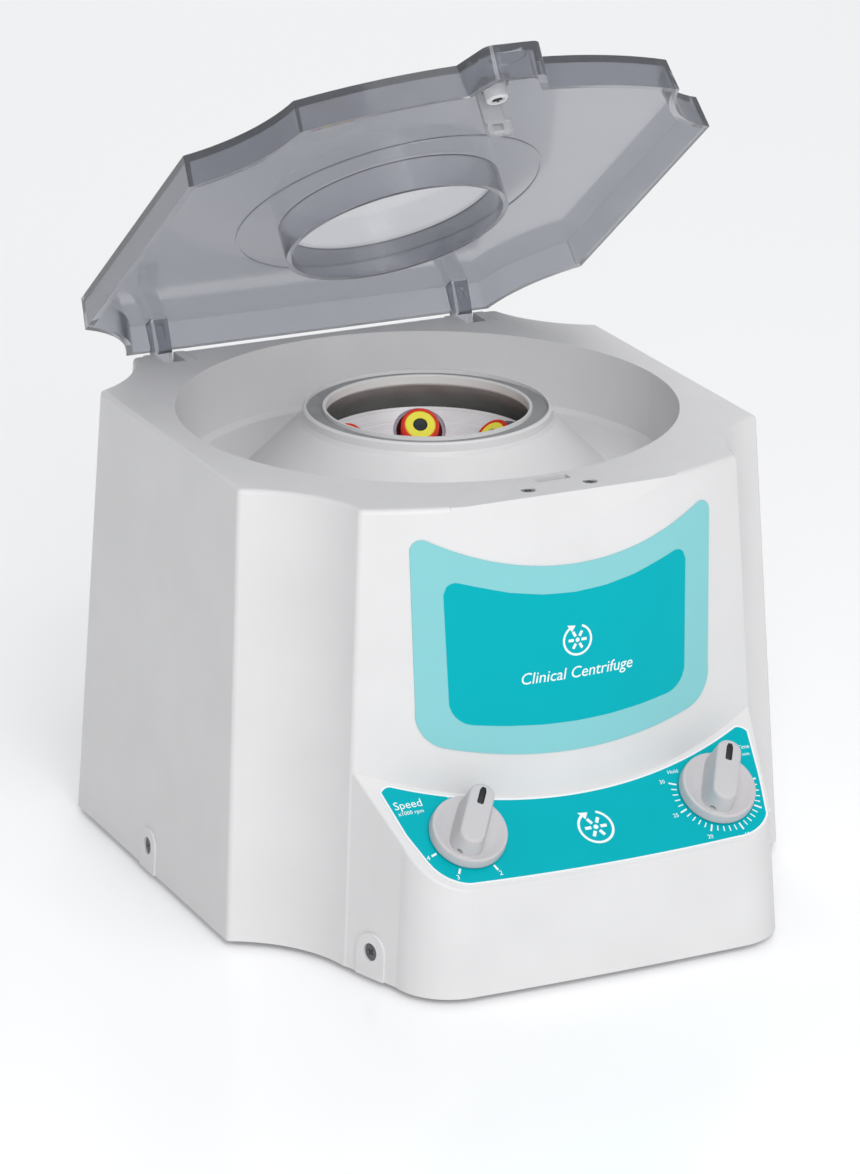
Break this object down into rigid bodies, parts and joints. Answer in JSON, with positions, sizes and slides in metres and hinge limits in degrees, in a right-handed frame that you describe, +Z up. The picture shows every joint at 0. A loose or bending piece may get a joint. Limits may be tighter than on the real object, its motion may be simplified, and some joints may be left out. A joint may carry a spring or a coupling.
{
  "type": "laboratory centrifuge",
  "caption": "Bench-top laboratory centrifuge: flared casing with a sloping panel of knobs, clear lid standing open over a ringed chamber with a fixed-angle rotor and capped tubes.",
  "frame": {"origin": "on the rotor's axis, at the bench surface the feet stand on", "axes": "+Z up along the rotor's axis, -Y towards the user and the control panel, +X to the user's right"},
  "size_m": [0.276, 0.3274, 0.3891],
  "materials": {
    "casing_plastic": "satin moulded grey-white",
    "steel_sheet": "zinc plated",
    "black_rubber": "matte",
    "screw_steel": "dull zinc",
    "front_label": "printed film",
    "panel_film": "printed film",
    "chamber_steel": "spun",
    "seal_rubber": "matte grey",
    "bracket_steel": "plated",
    "coil": "taped",
    "switch_plastic": "matte",
    "motor_steel": "painted",
    "laminations": "varnished",
    "bearing_steel": "ground",
    "carbon": "sooty",
    "circuit_board": "solder mask",
    "control_case": "moulded",
    "inlet_plastic": "moulded",
    "brass_pins": "plain",
    "lid_smoked": "clear smoked plastic",
    "hook_clear": "translucent",
    "hook_screw": "white moulded",
    "hook_washer": "plated",
    "rotor_aluminium": "spun and polished",
    "nut_steel": "bright",
    "sleeve_anodised": "anodised grey",
    "tube_glass": "clear",
    "cap_red": "moulded",
    "ring_yellow": "moulded",
    "stopper_dark": "matte",
    "knob_grey": "fine texture",
    "pointer_black": "inlaid",
    "button_plastic": "moulded"
  },
  "bodies": {
    "centrifuge_base": {"casing_shell": "casing_plastic", "base_plate": "steel_sheet", "rubber_feet": "black_rubber", "casing_screws": "screw_steel", "front_label": "front_label", "panel_film": "panel_film", "chamber_bowl": "chamber_steel", "collar_seal": "seal_rubber", "hinge_brackets": "bracket_steel", "hinge_pins": "bracket_steel", "lock_frame": "bracket_steel", "lock_screws": "screw_steel", "lock_solenoid": "coil", "lid_switch": "switch_plastic", "motor_can": "motor_steel", "motor_top_bell": "motor_steel", "motor_plate": "bracket_steel", "motor_stator": "laminations", "motor_bearings": "bearing_steel", "carbon_brushes": "carbon", "brush_holders": "switch_plastic", "rubber_mounts": "black_rubber", "bowl_posts": "bracket_steel", "control_board": "circuit_board", "speed_control": "control_case", "timer_mechanism": "control_case", "power_inlet": "inlet_plastic", "inlet_pins": "brass_pins", "fuse_holder": "inlet_plastic"},
    "lid": {"lid_shell": "lid_smoked", "lid_hook": "hook_clear", "hook_screw": "hook_screw", "hook_washer": "hook_washer"},
    "rotor_assembly": {"rotor": "rotor_aluminium", "rotor_nut": "nut_steel", "tube_sleeves": "sleeve_anodised", "glass_tube_1": "tube_glass", "glass_tube_2": "tube_glass", "glass_tube_3": "tube_glass", "glass_tube_4": "tube_glass", "glass_tube_5": "tube_glass", "glass_tube_6": "tube_glass", "tube_cap_1": "cap_red", "tube_cap_2": "cap_red", "tube_cap_3": "cap_red", "tube_cap_4": "cap_red", "tube_cap_5": "cap_red", "tube_cap_6": "cap_red", "cap_rings": "ring_yellow", "cap_stoppers": "stopper_dark", "motor_armature": "laminations", "motor_shaft": "bearing_steel"},
    "speed_dial": {"speed_knob": "knob_grey", "speed_pointer": "pointer_black", "speed_spindle": "bearing_steel"},
    "timer_dial": {"timer_knob": "knob_grey", "timer_pointer": "pointer_black", "timer_spindle": "bearing_steel"},
    "bolt": {"lock_bolt": "bearing_steel"},
    "button": {"switch_button": "button_plastic"}
  },
  "joints": [
    {"name": "lid_hinge", "type": "hinge", "parent": "centrifuge_base", "child": "lid", "pos_m": [0, 0.1218, 0.1942], "axis": [1, 0, 0], "range_deg": [0, 38.1]},
    {"name": "rotor_spin", "type": "hinge", "parent": "centrifuge_base", "child": "rotor_assembly", "pos_m": [0, 0, 0.12], "axis": [0, 0, 1], "continuous": true},
    {"name": "speed_turn", "type": "hinge", "parent": "centrifuge_base", "child": "speed_dial", "pos_m": [-0.058, -0.16225, 0.06684], "axis": [0, 0.5948, -0.8039], "range_deg": [0, 325]},
    {"name": "timer_turn", "type": "hinge", "parent": "centrifuge_base", "child": "timer_dial", "pos_m": [0.0622, -0.16225, 0.06684], "axis": [0, 0.5948, -0.8039], "range_deg": [-78, 262]},
    {"name": "bolt_slide", "type": "slide", "parent": "centrifuge_base", "child": "bolt", "axis": [0, 1, 0], "range_m": [0, 0.004], "stiffness_N_per_m": 60},
    {"name": "button_press", "type": "slide", "parent": "centrifuge_base", "child": "button", "axis": [0, 0, -1], "range_m": [0, 0.0012], "stiffness_N_per_m": 300}
  ]
}
